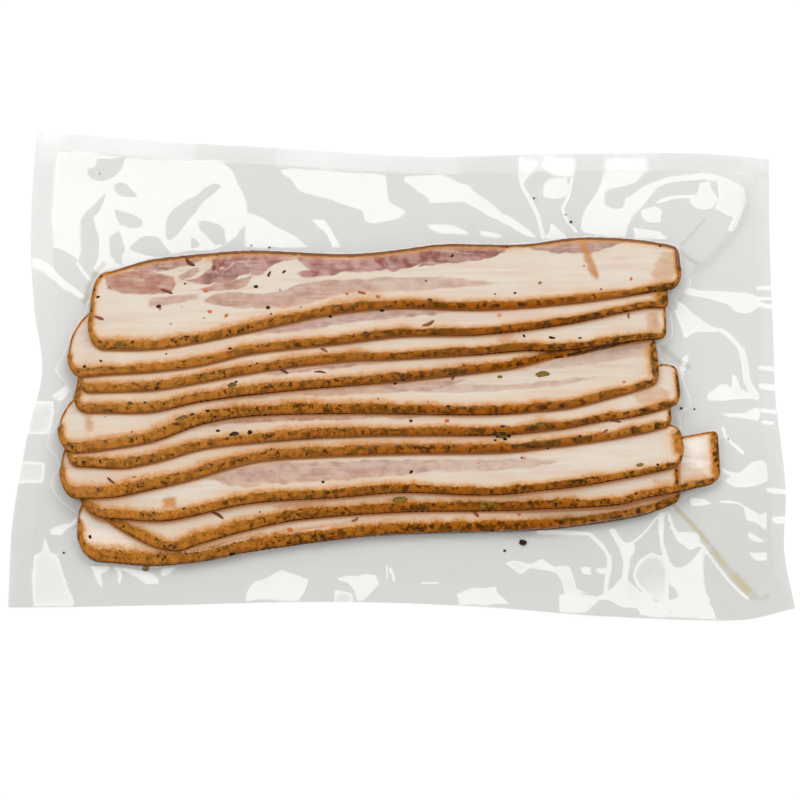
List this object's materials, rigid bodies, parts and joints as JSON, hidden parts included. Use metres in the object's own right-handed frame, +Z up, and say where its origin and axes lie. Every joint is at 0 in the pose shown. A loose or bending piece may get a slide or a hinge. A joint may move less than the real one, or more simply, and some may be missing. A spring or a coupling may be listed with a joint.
{
  "type": "vacuum-packed sliced bacon",
  "caption": "Clear rectangular vacuum pouch lying flat, with a sealed flange all round and spice-crusted belly bacon slices shingled inside.",
  "frame": {"origin": "centre of the pouch's outline, at the height of the flat underside that the pack rests on", "axes": "+X along the slices and the pouch's long side, -Y towards the side that the slices' crusts face, +Z up out of the pack's shown side"},
  "size_m": [0.3004, 0.2072, 0.014],
  "materials": {
    "film": "gloss",
    "slice_01": "satin",
    "slice_02": "satin",
    "slice_03": "satin",
    "slice_04": "satin",
    "slice_05": "satin",
    "slice_06": "satin",
    "slice_07": "satin",
    "slice_08": "satin",
    "slice_09": "satin",
    "slice_10": "satin",
    "slice_11": "satin"
  },
  "bodies": {
    "root": {"pouch": "film", "slice_01": "slice_01", "slice_02": "slice_02", "slice_03": "slice_03", "slice_04": "slice_04", "slice_05": "slice_05", "slice_06": "slice_06", "slice_07": "slice_07", "slice_08": "slice_08", "slice_09": "slice_09", "slice_10": "slice_10", "slice_11": "slice_11"}
  },
  "joints": []
}
